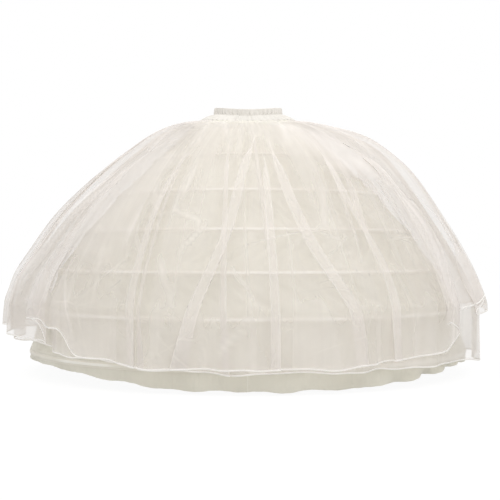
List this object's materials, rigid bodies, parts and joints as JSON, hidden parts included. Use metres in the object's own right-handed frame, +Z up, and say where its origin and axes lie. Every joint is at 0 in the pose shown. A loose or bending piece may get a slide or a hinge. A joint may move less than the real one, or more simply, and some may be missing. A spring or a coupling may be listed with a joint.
{
  "type": "hoop crinoline petticoat",
  "caption": "Bell-shaped crinoline petticoat: elastic waist, gathered yoke, gored lining with boned hoops in sewn casings, and gathered tulle layers with ribbon-bound hems.",
  "frame": {"origin": "centre of the waistband, on the waist axis at mid height of the band", "axes": "+Z up along the waist axis, -Y towards the front of the wearer, +X to the wearer's left"},
  "size_m": [1.485, 1.485, 0.782],
  "materials": {
    "lining_cloth": "satin",
    "casing_tape": "satin",
    "elastic": "matt",
    "boning": "matt",
    "joiner_plastic": "gloss",
    "tulle": "sheer",
    "ribbon": "satin"
  },
  "bodies": {
    "root": {"waistband": "lining_cloth", "waist_elastic": "elastic", "yoke": "lining_cloth", "lining_gore_1": "lining_cloth", "lining_gore_2": "lining_cloth", "lining_gore_3": "lining_cloth", "lining_gore_4": "lining_cloth", "lining_gore_5": "lining_cloth", "lining_gore_6": "lining_cloth", "hoop_1": "boning", "hoop_2": "boning", "hoop_3": "boning", "hoop_4": "boning", "hoop_5": "boning", "hoop_6": "boning", "hoop_casing_1": "casing_tape", "hoop_casing_2": "casing_tape", "hoop_casing_3": "casing_tape", "hoop_casing_4": "casing_tape", "hoop_casing_5": "casing_tape", "hoop_casing_6": "casing_tape", "hoop_joiner_1": "joiner_plastic", "hoop_joiner_2": "joiner_plastic", "hoop_joiner_3": "joiner_plastic", "hoop_joiner_4": "joiner_plastic", "hoop_joiner_5": "joiner_plastic", "hoop_joiner_6": "joiner_plastic", "tulle_inner": "tulle", "tulle_outer": "tulle", "ribbon_inner": "ribbon", "ribbon_outer": "ribbon"}
  },
  "joints": []
}
